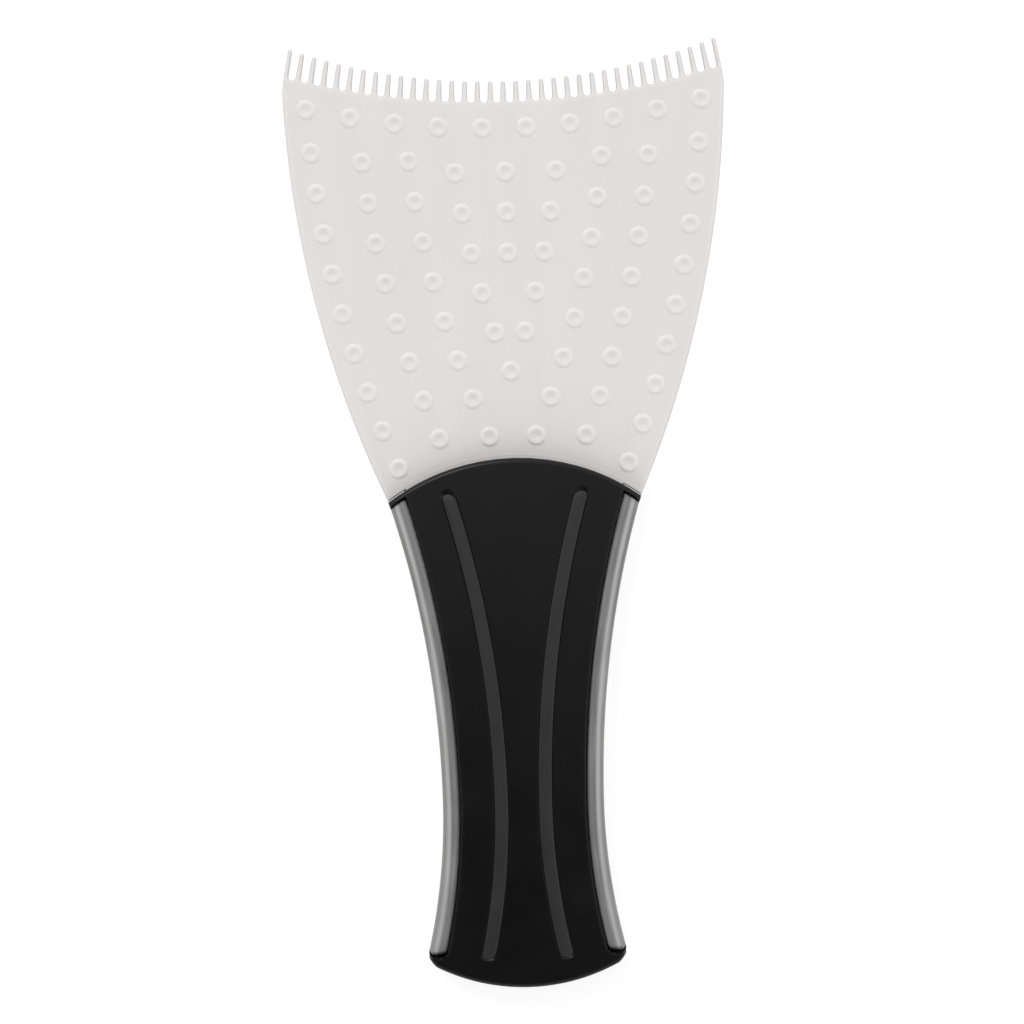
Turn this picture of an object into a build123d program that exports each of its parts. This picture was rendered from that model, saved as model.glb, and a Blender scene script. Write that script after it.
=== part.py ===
from build123d import *
import math
import os

# A hair colouring board: a flat toothed board held between the two shells of its handle.
# +Y runs from the handle to the teeth, +X is to the right of the front face, +Z comes out
# of the front face. The origin is in the middle of the length and the width, on the flat
# back that the tool lies on. Sizes are in millimetres, angles in degrees.

# --- Driving sizes: handle outline ---------------------------------------------------------
overall_length = 250.0       # end of the handle to the tips of the outermost teeth
handle_length = 139.7        # end of the handle to the crest of its top edge
handle_top_width = 67.0      # across the corners of the top edge
handle_top_rise = 10.9       # crest of the top edge above those corners
waist_width = 42.8           # narrowest width of the handle
waist_height = 48.5          # end of the handle to the waist
handle_end_width = 53.4      # across the corners of the end, before they are rounded
handle_end_rise = 7.2        # depth of the bowed end below those corners
end_corner_radius = 4.5

# --- Driving sizes: handle section ---------------------------------------------------------
back_depth = 6.5             # parting plane above the flat back
front_height_top = 5.5       # front face above the parting plane, at the crest
front_height_waist = 8.2     # the same, at the waist
front_height_end = 6.4       # the same, at the end
crown_radius = 250.0         # the front's curve from side to side, at the waist
shell_wall = 2.2
shell_skin = 2.2
end_wall = 2.6
mouth_wall = 4.0             # wall along the top edge, where the shells hold the board
top_edge_round = 1.2
end_edge_round = 1.2
back_edge_round = 1.2

# --- Driving sizes: board ------------------------------------------------------------------
board_width = 117.4          # across the upper corners
board_corner_drop = 10.6     # upper corners below the tips of the outermost teeth
board_side_lean = 1.4        # slope of the side at the upper corner
board_thickness = 2.2
board_edge_round = 0.8
shoulder_gap = 0.2           # board to the top edge of the shells
tang_length = 80.0           # part of the board inside the handle, below the crest
tang_side_gap = 0.3
tang_end_round = 6.0

# --- Driving sizes: teeth ------------------------------------------------------------------
tooth_count = 35
tooth_tip_width = 1.2
tooth_tip_round = 0.5
end_tooth_inset = 2.0        # tip of the outermost tooth, inwards of the board's corner
middle_tooth_length = 5.7
gullet_drop = 15.8           # middle gullet below the tips of the outermost teeth
gullet_rise = 8.2            # gullet line at the board's corners above the middle gullet
gullet_radius = 0.95
tooth_focus_height = 290.0   # the teeth's axes meet this far above the middle gullet

# --- Driving sizes: nubs -------------------------------------------------------------------
nub_foot_radius = 2.9
nub_top_radius = 2.2
nub_height = 0.5
nub_dimple_radius = 1.6
nub_dimple_depth = 0.35
nub_pitch = 10.9             # from nub to nub along a column
nub_row_inset = 7.0          # first row below the gullet line
nub_row_count = 10
nub_row_pitch = 11.65
nub_column_insets = (6.3, 19.4, 31.7, 43.4)      # four columns inwards of each side
nub_column_starts = (18.0, 18.3, 16.6, 19.0)     # their tops below the gullet line
nub_handle_clearance = 5.8
nub_merge_distance = 4.0     # a pair nearer the centre line than this becomes one nub
nub_centre_clearance = 8.0   # a centre nub needs its row's pair this far out

# --- Driving sizes: grips and inlays -------------------------------------------------------
grip_width = 4.9
grip_gap = 0.05
grip_step = 0.8              # grip below the front face, and above the flat back
grip_round = 1.8
grip_end_height = 8.4        # lower end of the grip above the end of the handle
grip_end_round = 2.0
rim_width = 1.4              # rim of the shells above the grip
tongue_depth = 1.2
tongue_thickness = 2.0
tongue_end_margin = 6.0
inlay_width = 3.6
inlay_inset = 15.6           # middle of the inlay inwards of the handle's side
inlay_top_gap = 9.1          # upper end of the inlay below the crest of the top edge
inlay_end_gap = 7.8          # inlay above the end of the handle
inlay_depth = 1.0
inlay_proud = 0.3
inlay_gap = 0.05

# --- Driving sizes: posts and sockets ------------------------------------------------------
post_radius = 3.6
post_root = 1.0              # pin running up into its post
pin_radius = 1.9
pin_depth = 4.0              # pin below the parting plane
pin_gap = 0.04
tang_hole_gap = 0.15
socket_floor_gap = 0.4
post_spacing = 14.0          # between the two posts of the upper pair
pair_post_drop = 26.0        # upper pair below the crest
middle_post_drop = 62.0      # middle post below the crest
end_post_height = 24.0       # lowest post above the end of the handle

# --- Worked-out places ---------------------------------------------------------------------
end_y = -overall_length / 2
tip_y = overall_length / 2
crest_y = end_y + handle_length
top_corner = (handle_top_width / 2, crest_y - handle_top_rise)
waist_y = end_y + waist_height
end_corner = (handle_end_width / 2, end_y + handle_end_rise)
board_corner = (board_width / 2, tip_y - board_corner_drop)
parting_z = back_depth
margin = 2.0                 # how far cutting shapes run past what they cut
tolerance = 0.001            # lengths this close count as equal
level_limit = 0.2            # an edge whose direction climbs less than this counts as level


def arc_radius(half_width, rise):
    """Radius of an arc that rises by rise over half_width."""
    return (half_width**2 + rise**2) / (2 * rise)


def flip(point):
    """The same point on the other side of the centre line."""
    return (-point[0], point[1])


def circles_meet(centre_a, radius_a, centre_b, radius_b, pick):
    """One of the two points where circles a and b cross: pick is max or min of their Y."""
    gap = math.dist(centre_a, centre_b)
    along = (gap**2 + radius_a**2 - radius_b**2) / (2 * gap)
    across = math.sqrt(radius_a**2 - along**2)
    ux = (centre_b[0] - centre_a[0]) / gap
    uy = (centre_b[1] - centre_a[1]) / gap
    foot = (centre_a[0] + along * ux, centre_a[1] + along * uy)
    left = (foot[0] - across * uy, foot[1] + across * ux)
    right = (foot[0] + across * uy, foot[1] - across * ux)
    return pick(left, right, key=lambda point: point[1])


# --- Handle outline ------------------------------------------------------------------------
waist = (waist_width / 2, waist_y)
upper_side_radius = arc_radius(top_corner[1] - waist_y, top_corner[0] - waist[0])
lower_side_radius = arc_radius(waist_y - end_corner[1], end_corner[0] - waist[0])
top_radius = arc_radius(top_corner[0], handle_top_rise)
end_radius = arc_radius(end_corner[0], handle_end_rise)
top_centre = (0, crest_y - top_radius)
end_centre = (0, end_y + end_radius)


def handle_side(y, inset=0.0):
    """X of the handle's right side at height y, moved inwards by inset."""
    radius = upper_side_radius if y > waist_y else lower_side_radius
    return waist[0] + radius - math.sqrt((radius + inset) ** 2 - (y - waist_y) ** 2)


def handle_plan(inset=0.0, top_drop=0.0, end_lift=0.0):
    """The handle's outline with its sides, its top edge and its end moved inwards."""
    upper_centre = (waist[0] + upper_side_radius, waist_y)
    lower_centre = (waist[0] + lower_side_radius, waist_y)
    upper_radius = upper_side_radius + inset
    lower_radius = lower_side_radius + inset
    top = circles_meet(top_centre, top_radius - top_drop, upper_centre, upper_radius, max)
    end = circles_meet(end_centre, end_radius - end_lift, lower_centre, lower_radius, min)
    middle = (waist[0] - inset, waist_y)
    upper_y = (top[1] + waist_y) / 2
    lower_y = (end[1] + waist_y) / 2
    upper = (handle_side(upper_y, inset), upper_y)
    lower = (handle_side(lower_y, inset), lower_y)
    with BuildSketch(mode=Mode.PRIVATE) as plan:
        with BuildLine():
            ThreePointArc(flip(top), (0, crest_y - top_drop), top)
            ThreePointArc(top, upper, middle)
            ThreePointArc(middle, lower, end)
            ThreePointArc(end, (0, end_y + end_lift), flip(end))
            ThreePointArc(flip(end), flip(lower), flip(middle))
            ThreePointArc(flip(middle), flip(upper), flip(top))
        make_face()
    return plan.sketch


def silhouette():
    """The whole handle seen from the front, with the corners of its end rounded."""
    with BuildSketch(mode=Mode.PRIVATE) as plan:
        add(handle_plan())
        fillet(plan.vertices().group_by(Axis.Y)[0], radius=end_corner_radius)
    return plan.sketch


def grip_plan(gap=0.0, outset=0.0):
    """The right side grip from the front, shrunk by gap, its outer side moved out by outset."""
    low = end_y + grip_end_height + gap
    inner = grip_width - gap
    height = overall_length
    with BuildSketch(mode=Mode.PRIVATE) as plan:
        add(handle_plan(-outset, rim_width + gap, -outset))
        add(handle_plan(inner, -margin, -margin), mode=Mode.SUBTRACT)
        with Locations((0, low)):
            Rectangle(board_width, height, align=(Align.MIN, Align.MIN), mode=Mode.INTERSECT)
        corner = plan.vertices().sort_by_distance((handle_side(low, inner), low))[0]
        fillet(corner, radius=grip_end_round)
    return plan.sketch


def tongue_plan(gap=0.0):
    """The strip of the right side grip's tongue, grown by gap."""
    low = end_y + grip_end_height + tongue_end_margin - gap
    high = top_corner[1] - tongue_end_margin + gap
    with BuildSketch(mode=Mode.PRIVATE) as plan:
        add(handle_plan(grip_width / 2, -margin, -margin))
        add(handle_plan(grip_width + tongue_depth + gap, -margin, -margin), mode=Mode.SUBTRACT)
        with Locations((0, (low + high) / 2)):
            Rectangle(board_width, high - low, align=(Align.MIN, Align.CENTER), mode=Mode.INTERSECT)
    return plan.sketch


def inlay_plan(gap=0.0):
    """The right inlay from the front, grown by gap: a strip along the side, round at its ends."""
    half = inlay_width / 2
    high = crest_y - inlay_top_gap - half
    low = end_y + inlay_end_gap + half
    points = [(handle_side(y, inlay_inset), y) for y in (high, (high + waist_y) / 2, waist_y)]
    points += [(handle_side(y, inlay_inset), y) for y in ((low + waist_y) / 2, low)]
    with BuildSketch(mode=Mode.PRIVATE) as plan:
        with BuildLine() as route:
            ThreePointArc(points[0], points[1], points[2])
            ThreePointArc(points[2], points[3], points[4])
        trace(route.edges(), line_width=inlay_width + 2 * gap)
        with Locations(points[0], points[4]):
            Circle(half + gap)
    return plan.sketch


def prism(plan, low, high, both_sides=False):
    """A plan extruded from z low to z high, with its mirror image if both sides are asked for."""
    with BuildPart(mode=Mode.PRIVATE) as body:
        with BuildSketch(Plane.XY.offset(low)):
            add(plan)
            if both_sides:
                mirror(about=Plane.YZ)
        extrude(amount=high - low)
    return body.part


def crown(drop=0.0):
    """Everything under the front face, lowered by drop.

    The front's line from end to crest is an arc through three heights, turned about an
    axis along Y, so every cross-section is an arc too.
    """
    axis_z = parting_z + front_height_waist - crown_radius
    end_point = (end_y, parting_z + front_height_end - drop)
    waist_point = (waist_y, parting_z + front_height_waist - drop)
    crest_point = (crest_y, parting_z + front_height_top - drop)
    end_run = (end_y - margin, end_point[1])
    crest_run = (crest_y + margin, crest_point[1])
    crest_foot = (crest_run[0], axis_z)
    end_foot = (end_run[0], axis_z)
    with BuildPart(mode=Mode.PRIVATE) as body:
        with BuildSketch(Plane.YZ):
            with BuildLine():
                ThreePointArc(end_point, waist_point, crest_point)
                Polyline(crest_point, crest_run, crest_foot, end_foot, end_run, end_point)
            make_face()
        revolve(axis=Axis((0, 0, axis_z), (0, 1, 0)))
    return body.part


front_stock = max(front_height_top, front_height_waist, front_height_end) + margin
cavity_plan = handle_plan(grip_width + shell_wall, mouth_wall, end_wall)
tang_inset = grip_width + shell_wall + tang_side_gap

# --- Posts: places on the tang, then one below it ------------------------------------------
half_board = board_thickness / 2
pair_y = crest_y - pair_post_drop
tang_posts = [(-post_spacing / 2, pair_y), (post_spacing / 2, pair_y), (0, crest_y - middle_post_drop)]
end_post = (0, end_y + end_post_height)
post_seats = [(point, half_board) for point in tang_posts] + [(end_post, 0.0)]

# --- Board ---------------------------------------------------------------------------------
side_chord = math.dist(board_corner, top_corner)
side_spread = board_corner[0] - top_corner[0]
side_slope = math.degrees(math.atan2(side_spread, board_corner[1] - top_corner[1]))
board_side_radius = side_chord / (2 * math.sin(math.radians(side_slope - board_side_lean)))
lean = math.radians(board_side_lean)
board_side_centre = (
    board_corner[0] - board_side_radius * math.cos(lean),
    board_corner[1] + board_side_radius * math.sin(lean),
)
gullet_y = tip_y - gullet_drop
gullet_line_radius = arc_radius(board_corner[0], gullet_rise)
gullet_line_centre = (0, gullet_y + gullet_line_radius)
tip_corner = (board_corner[0] - end_tooth_inset, tip_y)
tip_middle_y = gullet_y + middle_tooth_length
tip_radius = arc_radius(tip_corner[0], tip_y - tip_middle_y)
tip_centre = (0, tip_middle_y + tip_radius)
focus_y = gullet_y + tooth_focus_height
end_tooth_angle = math.atan2(tip_corner[0] - tooth_tip_width / 2, focus_y - tip_y)
tooth_angle = 2 * end_tooth_angle / (tooth_count - 1)


def side_point(inset, angle):
    """A point on the board's right side moved inwards by inset, angle below level (radians)."""
    radius = board_side_radius - inset
    return (
        board_side_centre[0] + radius * math.cos(angle),
        board_side_centre[1] - radius * math.sin(angle),
    )


def side_angle(point):
    """How far below level a point lies, seen from the centre of the board's right side."""
    return math.atan2(board_side_centre[1] - point[1], point[0] - board_side_centre[0])


def ray_point(angle, centre, radius):
    """Where the ray from the teeth's focus, angle off straight down, meets a circle's far side."""
    rise = focus_y - centre[1]
    reach = rise * math.cos(angle) + math.sqrt(radius**2 - (rise * math.sin(angle)) ** 2)
    return (reach * math.sin(angle), focus_y - reach * math.cos(angle))


def gullet_plan(angle):
    """The gap between two teeth: a round bottom whose sides leave every tooth tip equally wide."""
    bottom = ray_point(angle, gullet_line_centre, gullet_line_radius)
    tip = ray_point(angle, tip_centre, tip_radius)
    centre = (bottom[0] - gullet_radius * math.sin(angle), bottom[1] + gullet_radius * math.cos(angle))
    tip_gap = math.dist(tip, (0, focus_y)) * tooth_angle - tooth_tip_width
    flare = (tip_gap / 2 - gullet_radius) / math.dist(tip, centre)
    mouth = gullet_drop
    wide = gullet_radius + flare * mouth
    with BuildSketch(mode=Mode.PRIVATE) as plan:
        with BuildLine():
            ThreePointArc((-gullet_radius, 0), (0, -gullet_radius), (gullet_radius, 0))
            Polyline((gullet_radius, 0), (wide, mouth), (-wide, mouth), (-gullet_radius, 0))
        make_face()
    return plan.sketch.moved(Location(centre, math.degrees(angle)))


def is_end_edge(edge):
    """Whether an edge of a shell's face belongs to the bowed end or its rounded corners."""
    return edge.center().Y < end_y + grip_end_height


def is_outer_grip_edge(edge):
    """Whether an edge of the grip's upper or lower face runs along the handle's outline."""
    middle = edge @ 0.5
    level = abs((edge % 0.5).Z) < level_limit
    outer = middle.X > handle_side(middle.Y, grip_width / 2)
    return level and outer and edge.length > end_corner_radius


def is_on_tips(vertex):
    """Whether a corner of the board's outline lies on the line of the tooth tips."""
    return abs(math.dist((vertex.X, vertex.Y), tip_centre) - tip_radius) < tolerance


def is_board_side(edge):
    """Whether an arc is one of the board's long sides."""
    return abs(edge.radius - board_side_radius) < tolerance


def nub_points():
    """Places of the nubs: a row along the gullets, then columns that follow the board's sides."""
    row_radius = gullet_line_radius + nub_row_inset
    row_xs = [(index - (nub_row_count - 1) / 2) * nub_row_pitch for index in range(nub_row_count)]
    points = [(x, gullet_line_centre[1] - math.sqrt(row_radius**2 - x**2)) for x in row_xs]
    limit = top_radius + nub_handle_clearance
    inner_column = nub_column_insets[-1]
    for inset, drop in zip(nub_column_insets, nub_column_starts):
        radius = board_side_radius - inset
        start_radius = gullet_line_radius + drop
        start = circles_meet(board_side_centre, radius, gullet_line_centre, start_radius, min)
        angle = side_angle(start)
        point = start
        while math.dist(point, top_centre) > limit and point[0] > nub_merge_distance:
            points += [point, flip(point)]
            if inset == inner_column and point[0] > nub_centre_clearance:
                points.append((0, point[1]))
            angle += nub_pitch / radius
            point = side_point(inset, angle)
        if point[0] <= nub_merge_distance and math.dist(point, top_centre) > limit:
            points.append((0, point[1]))
    return points


shoulder = circles_meet(board_side_centre, board_side_radius, top_centre, top_radius, max)
shoulder_angle = side_angle(shoulder)
side_foot = side_point(0.0, shoulder_angle + margin / board_side_radius)
side_middle = side_point(0.0, (lean + shoulder_angle) / 2)
tang_y = crest_y - tang_length
gullet_angles = [(index - (tooth_count - 2) / 2) * tooth_angle for index in range(tooth_count - 1)]
front_z = parting_z + half_board
dimple_sphere = arc_radius(nub_dimple_radius, nub_dimple_depth)
dimple_z = front_z + nub_height - nub_dimple_depth + dimple_sphere

with BuildPart() as board:
    with BuildSketch(Plane.XY.offset(parting_z)) as board_plan:
        with BuildLine():
            Line(flip(side_foot), side_foot)
            ThreePointArc(side_foot, side_middle, board_corner)
            Line(board_corner, tip_corner)
            ThreePointArc(tip_corner, (0, tip_middle_y), flip(tip_corner))
            Line(flip(tip_corner), flip(board_corner))
            ThreePointArc(flip(board_corner), flip(side_middle), flip(side_foot))
        make_face()
        add([gullet_plan(angle) for angle in gullet_angles], mode=Mode.SUBTRACT)
        fillet([v for v in board_plan.vertices() if is_on_tips(v)], radius=tooth_tip_round)
    extrude(amount=half_board, both=True)
    sides = board.edges().filter_by(GeomType.CIRCLE).filter_by(is_board_side)
    fillet(sides, radius=board_edge_round)
    with BuildSketch(Plane.XY.offset(parting_z)):
        with Locations(top_centre):
            Circle(top_radius + shoulder_gap)
    extrude(amount=board_thickness, both=True, mode=Mode.SUBTRACT)
    with BuildSketch(Plane.XY.offset(parting_z)) as tang_plan:
        add(handle_plan(tang_inset, -margin, 0.0))
        with Locations((0, tang_y)):
            Rectangle(board_width, overall_length, align=(Align.CENTER, Align.MIN), mode=Mode.INTERSECT)
        fillet(tang_plan.vertices().group_by(Axis.Y)[0], radius=tang_end_round)
    extrude(amount=half_board, both=True)
    with Locations(*[(x, y, front_z) for x, y in nub_points()]):
        Cone(nub_foot_radius, nub_top_radius, nub_height, align=(Align.CENTER, Align.CENTER, Align.MIN))
    with Locations(*[(x, y, dimple_z) for x, y in nub_points()]):
        Sphere(dimple_sphere, mode=Mode.SUBTRACT)
    with Locations(*[(x, y, front_z) for x, y in tang_posts]):
        Hole(pin_radius + tang_hole_gap)
board.part.label = "board"

# --- Cutting shapes shared by the shells ---------------------------------------------------
with BuildSketch(mode=Mode.PRIVATE) as shell_plan:
    add(silhouette())
    add(grip_plan(outset=margin), mode=Mode.SUBTRACT)
    mirror(about=Plane.YZ, mode=Mode.INTERSECT)

with BuildSketch(mode=Mode.PRIVATE) as tang_slot_plan:
    add(handle_plan(tang_inset - tang_side_gap, -margin, 0.0))
    with Locations((0, tang_y - tang_side_gap)):
        Rectangle(board_width, overall_length, align=(Align.CENTER, Align.MIN), mode=Mode.INTERSECT)

tang_slot = prism(tang_slot_plan.sketch, parting_z - half_board, parting_z + half_board)
half_groove = tongue_thickness / 2 + grip_gap
groove_low = parting_z - half_groove
groove_high = parting_z + half_groove
tongue_groove = prism(tongue_plan(grip_gap), groove_low, groove_high, both_sides=True)

# --- Front shell ---------------------------------------------------------------------------
with BuildPart() as front_hollow:
    add(prism(cavity_plan, parting_z - margin, parting_z + front_stock))
    add(crown(shell_skin), mode=Mode.INTERSECT)
    for point, seat in post_seats:
        with BuildSketch(Plane.XY.offset(parting_z + seat)):
            with Locations(point):
                Circle(post_radius)
        extrude(amount=front_stock, mode=Mode.SUBTRACT)

with BuildPart() as front_inlay_groove:
    add(prism(inlay_plan(inlay_gap), parting_z, parting_z + front_stock, both_sides=True))
    add(crown(inlay_depth), mode=Mode.SUBTRACT)

with BuildPart() as handle_front_shell:
    with BuildSketch(Plane.XY.offset(parting_z)):
        add(shell_plan.sketch)
    extrude(amount=front_stock)
    add(crown(), mode=Mode.INTERSECT)
    front_edges = handle_front_shell.faces().sort_by(Axis.Z)[-1].edges()
    fillet(front_edges.sort_by(Axis.Y)[-1], radius=top_edge_round)
    front_edges = handle_front_shell.faces().sort_by(Axis.Z)[-1].edges()
    fillet(front_edges.filter_by(is_end_edge), radius=end_edge_round)
    add(front_hollow.part, mode=Mode.SUBTRACT)
    add(tang_slot, mode=Mode.SUBTRACT)
    add(tongue_groove, mode=Mode.SUBTRACT)
    add(front_inlay_groove.part, mode=Mode.SUBTRACT)
    for point, seat in post_seats:
        with BuildSketch(Plane.XY.offset(parting_z - pin_depth)):
            with Locations(point):
                Circle(pin_radius)
        extrude(amount=pin_depth + seat + post_root)
handle_front_shell.part.label = "handle_front_shell"

# --- Back shell ----------------------------------------------------------------------------
with BuildPart() as back_hollow:
    add(prism(cavity_plan, shell_skin, parting_z + margin))
    for point, seat in post_seats:
        with BuildSketch(Plane.XY):
            with Locations(point):
                Circle(post_radius)
        extrude(amount=parting_z - seat, mode=Mode.SUBTRACT)

with BuildPart() as handle_back_shell:
    with BuildSketch():
        add(shell_plan.sketch)
    extrude(amount=parting_z)
    back_edges = handle_back_shell.faces().sort_by(Axis.Z)[0].edges()
    fillet(back_edges.filter_by(is_end_edge), radius=back_edge_round)
    back_edges = handle_back_shell.faces().sort_by(Axis.Z)[0].edges()
    fillet(back_edges.sort_by(Axis.Y)[-1], radius=back_edge_round)
    add(back_hollow.part, mode=Mode.SUBTRACT)
    add(tang_slot, mode=Mode.SUBTRACT)
    add(tongue_groove, mode=Mode.SUBTRACT)
    add(prism(inlay_plan(inlay_gap), -margin, inlay_depth, both_sides=True), mode=Mode.SUBTRACT)
    for point, seat in post_seats:
        with Locations((point[0], point[1], parting_z - seat)):
            Hole(pin_radius + pin_gap, depth=pin_depth - seat + socket_floor_gap)
handle_back_shell.part.label = "handle_back_shell"

# --- Side grips ----------------------------------------------------------------------------
with BuildPart() as side_grip_right:
    with BuildSketch(Plane.XY.offset(grip_step)):
        add(grip_plan(gap=grip_gap))
        add(silhouette(), mode=Mode.INTERSECT)
    extrude(amount=parting_z + front_stock)
    add(crown(grip_step), mode=Mode.INTERSECT)
    outer = side_grip_right.edges().filter_by(is_outer_grip_edge)
    fillet(outer, radius=grip_round)
    add(prism(tongue_plan(), parting_z - tongue_thickness / 2, parting_z + tongue_thickness / 2))
side_grip_right.part.label = "side_grip_right"

with BuildPart() as side_grip_left:
    add(side_grip_right.part.mirror(Plane.YZ))
side_grip_left.part.label = "side_grip_left"

# --- Inlays --------------------------------------------------------------------------------
with BuildPart() as front_inlay_right:
    add(prism(inlay_plan(), parting_z, parting_z + front_stock))
    add(crown(-inlay_proud), mode=Mode.INTERSECT)
    add(crown(inlay_depth), mode=Mode.SUBTRACT)
front_inlay_right.part.label = "front_inlay_right"

with BuildPart() as front_inlay_left:
    add(front_inlay_right.part.mirror(Plane.YZ))
front_inlay_left.part.label = "front_inlay_left"

with BuildPart() as back_inlay_right:
    add(prism(inlay_plan(), 0.0, inlay_depth))
back_inlay_right.part.label = "back_inlay_right"

with BuildPart() as back_inlay_left:
    add(back_inlay_right.part.mirror(Plane.YZ))
back_inlay_left.part.label = "back_inlay_left"

# --- Export --------------------------------------------------------------------------------
os.makedirs("parts", exist_ok=True)
pieces = [board, handle_front_shell, handle_back_shell, side_grip_left, side_grip_right]
pieces += [front_inlay_left, front_inlay_right, back_inlay_left, back_inlay_right]
for piece in pieces:
    export_step(piece.part, f"parts/{piece.part.label}.step")
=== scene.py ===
import math

import bmesh
import bpy
import numpy as np
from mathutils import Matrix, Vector


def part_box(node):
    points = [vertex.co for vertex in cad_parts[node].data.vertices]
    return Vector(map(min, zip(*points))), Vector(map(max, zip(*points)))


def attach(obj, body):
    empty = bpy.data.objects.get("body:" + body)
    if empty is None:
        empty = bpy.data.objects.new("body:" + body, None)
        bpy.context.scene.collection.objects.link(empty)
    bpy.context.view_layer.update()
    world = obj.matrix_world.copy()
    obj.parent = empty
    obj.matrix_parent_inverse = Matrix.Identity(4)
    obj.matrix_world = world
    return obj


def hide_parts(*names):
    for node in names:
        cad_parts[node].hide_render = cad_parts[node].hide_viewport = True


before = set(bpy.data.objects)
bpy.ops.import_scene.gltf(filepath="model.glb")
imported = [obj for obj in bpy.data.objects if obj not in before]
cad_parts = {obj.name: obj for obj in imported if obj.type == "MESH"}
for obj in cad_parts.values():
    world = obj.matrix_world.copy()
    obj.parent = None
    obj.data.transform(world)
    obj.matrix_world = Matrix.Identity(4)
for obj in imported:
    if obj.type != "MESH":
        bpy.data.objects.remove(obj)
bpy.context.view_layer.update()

# Shapes are worked out in millimetres and made in metres.
MM = 0.001
FAR = 9.0                   # a reading or distance that is well away from every edge
ON_EDGE = 0.001             # distances up to this one count as zero


def box_mm(node):
    """Lowest and highest corner of a CAD node, in millimetres."""
    low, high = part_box(node)
    return np.array(low) / MM, np.array(high) / MM


_, board_high = box_mm("board")
back_low, back_high = box_mm("handle_back_shell")
grip_low, _ = box_mm("side_grip_right")
inlay_low, inlay_high = box_mm("front_inlay_right")
back_inlay_low, back_inlay_high = box_mm("back_inlay_right")

# --- Sizes of the handle ---------------------------------------------------------------
end_y = back_low[1]
crest_y = back_high[1]
top_half_width = back_high[0]
parting_z = back_high[2]
top_rise = 10.9
waist_half_width = 21.4
waist_y = end_y + 48.5
end_half_width = 26.7
end_rise = 7.2
corner_reach = 3.0          # how far the rounded corners of the end run along their edges
front_height_top = 5.5
front_height_waist = 8.2
front_height_end = 6.4
crown_radius = 250.0
shell_wall = 2.2
parting_gap = 0.01          # keeps the meeting faces of the shells and the tang apart
outline_round = 1.2
channel_round = 0.25
rim_width = 1.4
grip_width = 4.9
grip_gap = 0.05
grip_corner_round = 2.0
grip_head_round = 0.6
grip_drop = 0.8             # how far a grip lies below the front face
inlay_half_width = 1.8
inlay_inset = 15.6
inlay_depth = 1.0
inlay_rise = 0.3            # how far a front inlay stands above the front face
inlay_gap = 0.05
bed_depth = 0.5            # what can be seen of the bed beside an inlay
bed_edge = 0.4

# --- Sizes of the board ----------------------------------------------------------------
tip_y = -end_y
board_half_width = board_high[0]
board_corner_y = tip_y - 10.6
board_lean = math.radians(1.4)
half_thickness = 1.1
side_round = 0.8
shoulder_gap = 0.2
shoulder_round = 0.3
tang_inset = grip_width + shell_wall + 0.3
tang_length = 80.0
tang_lead = 1.5             # how far the tang's rows start beyond the handle's crest
tang_end_round = 6.0
tang_edge_round = 0.4

tooth_count = 35
tooth_tip_width = 1.2
tooth_round = 0.45
tooth_tip_round = 0.6
tooth_thinning = 0.3        # off half the thickness, at the tip
end_tooth_inset = 2.0
middle_tooth_length = 5.7
gullet_y = tip_y - 15.8
gullet_rise = 8.2
gullet_radius = 0.95
focus_y = gullet_y + 290.0  # where the axes of the teeth meet

nub_radius = 2.9
nub_crest_radius = 1.95
nub_height = 0.38
nub_dimple = 0.33
nub_sink = 0.004            # the foot lies this far below the board's face
nub_skirt = 0.4
nub_ring_width = 0.9        # how far the painted highlight on the ring fades away from the crest
nub_pitch = 10.9
nub_row_inset = 7.0
nub_row_count = 10
nub_row_pitch = 11.65
nub_column_insets = (6.3, 19.4, 31.7, 43.4)
nub_column_starts = (18.0, 18.3, 16.6, 19.0)
nub_handle_clearance = 5.8
nub_merge_distance = 4.0
nub_centre_clearance = 8.0


def arc_radius(half_width, rise):
    """Radius of an arc that rises by rise over half_width."""
    return (half_width**2 + rise**2) / (2 * rise)


def circle_through(first, second, third):
    """Centre and radius of the circle through three points: equal distances give two equations."""
    a, b, c = np.array(first), np.array(second), np.array(third)
    centre = np.linalg.solve(2 * np.array([b - a, c - a]), np.array([b @ b - a @ a, c @ c - a @ a]))
    return centre, np.linalg.norm(a - centre)


top_corner_y = crest_y - top_rise
end_corner_y = end_y + end_rise
upper_radius = arc_radius(top_corner_y - waist_y, top_half_width - waist_half_width)
lower_radius = arc_radius(waist_y - end_corner_y, end_half_width - waist_half_width)
top_radius = arc_radius(top_half_width, top_rise)
end_radius = arc_radius(end_half_width, end_rise)
top_centre_y = crest_y - top_radius
end_centre_y = end_y + end_radius

side_slope = math.atan2(board_half_width - top_half_width, board_corner_y - top_corner_y)
side_chord = math.hypot(board_half_width - top_half_width, board_corner_y - top_corner_y)
side_radius = side_chord / (2 * math.sin(side_slope - board_lean))
side_centre = (
    board_half_width - side_radius * math.cos(board_lean),
    board_corner_y + side_radius * math.sin(board_lean),
)
gullet_line_radius = arc_radius(board_half_width, gullet_rise)
gullet_line_y = gullet_y + gullet_line_radius
tip_corner = (board_half_width - end_tooth_inset, tip_y)
tip_radius = arc_radius(tip_corner[0], tip_y - gullet_y - middle_tooth_length)
tip_centre_y = gullet_y + middle_tooth_length + tip_radius
end_tooth_angle = math.atan2(tip_corner[0] - tooth_tip_width / 2, focus_y - tip_y)
tooth_angle = 2 * end_tooth_angle / (tooth_count - 1)

crown_axis_z = parting_z + front_height_waist - crown_radius
(crown_line_y, crown_line_z), crown_line_radius = circle_through(
    (end_y, parting_z + front_height_end),
    (waist_y, parting_z + front_height_waist),
    (crest_y, parting_z + front_height_top),
)


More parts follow.
